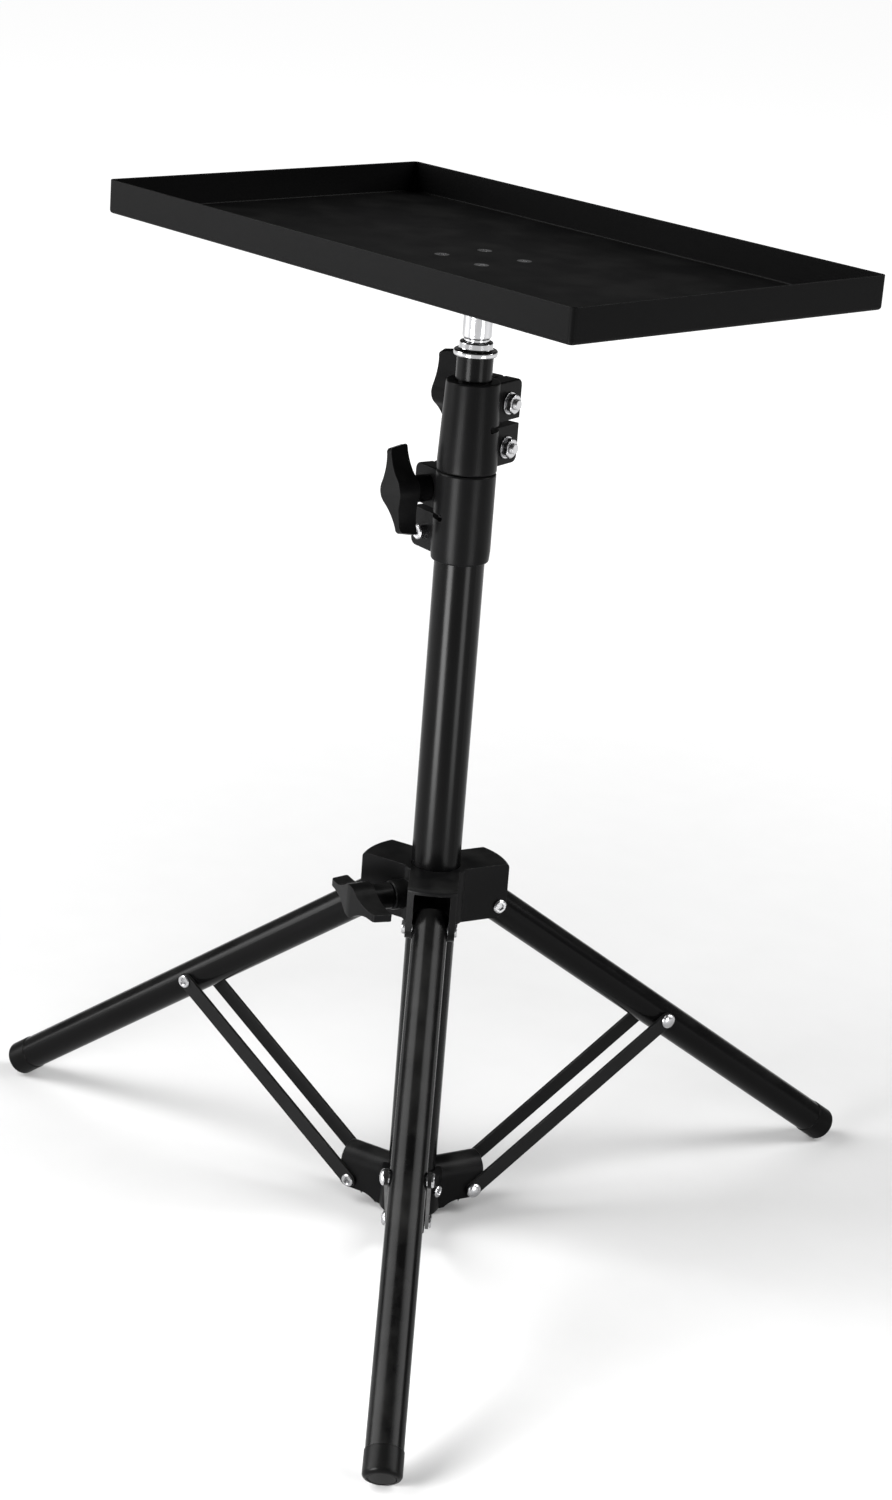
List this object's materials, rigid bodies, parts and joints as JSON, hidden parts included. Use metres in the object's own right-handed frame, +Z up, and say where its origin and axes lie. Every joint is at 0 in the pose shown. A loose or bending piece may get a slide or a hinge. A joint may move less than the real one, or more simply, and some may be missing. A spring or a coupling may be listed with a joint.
{
  "type": "projector stand",
  "caption": "Folding tripod stand with a telescoping column, clamp knobs, a sliding leg collar with flat braces, and a shallow rimmed tray on a swivel stud.",
  "frame": {"origin": "on the floor under the column's axis, between the feet", "axes": "+Z up along the column, +X along the tray's long side"},
  "size_m": [0.5112, 0.5067, 0.5863],
  "materials": {
    "black_tube": "satin black paint",
    "tray_steel": "matte black powder coat",
    "black_plastic": "moulded matte black",
    "chrome": "bright chrome plate",
    "bright_steel": "bright zinc plate",
    "foot_rubber": "matte black rubber"
  },
  "bodies": {
    "column": {"lower_tube": "black_tube", "lower_hub": "black_plastic", "hub_screw": "bright_steel", "lower_clamp": "black_plastic", "lower_clamp_bolt": "bright_steel", "lower_clamp_nuts": "bright_steel", "hub_rivet_front": "bright_steel", "hub_rivet_right": "bright_steel", "hub_rivet_left": "bright_steel"},
    "middle_section": {"middle_tube": "black_tube", "upper_clamp": "black_plastic", "upper_clamp_bolt": "bright_steel", "upper_clamp_nuts": "bright_steel"},
    "upper_section": {"upper_tube": "black_tube", "top_ring": "chrome", "spigot": "chrome"},
    "tray": {"tray_base": "tray_steel", "tray_long_walls": "tray_steel", "tray_short_walls": "tray_steel", "tray_flange": "tray_steel", "tray_screws": "bright_steel"},
    "lower_knob": {"lower_clamp_knob": "black_plastic", "lower_clamp_stud": "bright_steel"},
    "upper_knob": {"upper_clamp_knob": "black_plastic", "upper_clamp_stud": "bright_steel"},
    "collar": {"leg_collar": "black_plastic", "collar_screw_front": "bright_steel", "collar_screw_right": "bright_steel", "collar_screw_left": "bright_steel"},
    "collar_lock": {"collar_knob": "black_plastic", "collar_knob_stud": "bright_steel"},
    "leg_front": {"leg_tube_front": "black_tube", "foot_cap_front": "foot_rubber", "leg_rivet_front": "bright_steel"},
    "braces_front": {"brace_front_a": "black_tube", "brace_front_b": "black_tube"},
    "leg_right": {"leg_tube_right": "black_tube", "foot_cap_right": "foot_rubber", "leg_rivet_right": "bright_steel"},
    "braces_right": {"brace_right_a": "black_tube", "brace_right_b": "black_tube"},
    "leg_left": {"leg_tube_left": "black_tube", "foot_cap_left": "foot_rubber", "leg_rivet_left": "bright_steel"},
    "braces_left": {"brace_left_a": "black_tube", "brace_left_b": "black_tube"}
  },
  "joints": [
    {"name": "middle_slide", "type": "slide", "parent": "column", "child": "middle_section", "axis": [0, 0, 1], "range_m": [0, 0.35]},
    {"name": "upper_slide", "type": "slide", "parent": "middle_section", "child": "upper_section", "axis": [0, 0, 1], "range_m": [0, 0.35]},
    {"name": "tray_swivel", "type": "hinge", "parent": "upper_section", "child": "tray", "pos_m": [0, 0, 0.5679], "axis": [0, 0, 1], "continuous": true},
    {"name": "lower_knob_turn", "type": "hinge", "parent": "column", "child": "lower_knob", "pos_m": [-0.02086, 0.00245, 0.4388], "axis": [-0.1167, -0.9932, 0], "continuous": true},
    {"name": "upper_knob_turn", "type": "hinge", "parent": "middle_section", "child": "upper_knob", "pos_m": [-0.00472, 0.02046, 0.4892], "axis": [-0.9744, -0.225, 0], "continuous": true},
    {"name": "leg_fold", "type": "hinge", "parent": "column", "child": "braces_front", "pos_m": [0.0259, -0.02501, 0.014], "axis": [-0.6947, -0.7193, 0], "range_deg": [0, 49]},
    {"name": "leg_pivot_front", "type": "hinge", "parent": "braces_front", "child": "leg_front", "pos_m": [0.11633, -0.11234, 0.10568], "axis": [0.6947, 0.7193, 0], "range_deg": [0, 98]},
    {"name": "collar_pivot", "type": "hinge", "parent": "leg_front", "child": "collar", "pos_m": [0.0259, -0.02501, 0.19736], "axis": [-0.6947, -0.7193, 0], "range_deg": [0, 49]},
    {"name": "brace_fold_right", "type": "hinge", "parent": "column", "child": "braces_right", "pos_m": [0.00871, 0.03493, 0.014], "axis": [0.9703, -0.2419, 0], "range_deg": [0, 49]},
    {"name": "leg_pivot_right", "type": "hinge", "parent": "braces_right", "child": "leg_right", "pos_m": [0.03912, 0.15692, 0.10568], "axis": [-0.9703, 0.2419, 0], "range_deg": [0, 98]},
    {"name": "brace_fold_left", "type": "hinge", "parent": "column", "child": "braces_left", "pos_m": [-0.0346, -0.00992, 0.014], "axis": [-0.2756, 0.9613, 0], "range_deg": [0, 49]},
    {"name": "leg_pivot_left", "type": "hinge", "parent": "braces_left", "child": "leg_left", "pos_m": [-0.15546, -0.04458, 0.10568], "axis": [0.2756, -0.9613, 0], "range_deg": [0, 98]},
    {"name": "collar_knob_turn", "type": "hinge", "parent": "collar", "child": "collar_lock", "pos_m": [0, 0, 0.20666], "axis": [-0.2419, -0.9703, 0], "continuous": true}
  ],
  "couplings": [
    {"joint": "collar_pivot", "follows": "leg_fold", "ratio": 1},
    {"joint": "leg_pivot_front", "follows": "leg_fold", "ratio": 2},
    {"joint": "brace_fold_right", "follows": "leg_fold", "ratio": 1},
    {"joint": "leg_pivot_right", "follows": "leg_fold", "ratio": 2},
    {"joint": "brace_fold_left", "follows": "leg_fold", "ratio": 1},
    {"joint": "leg_pivot_left", "follows": "leg_fold", "ratio": 2}
  ]
}
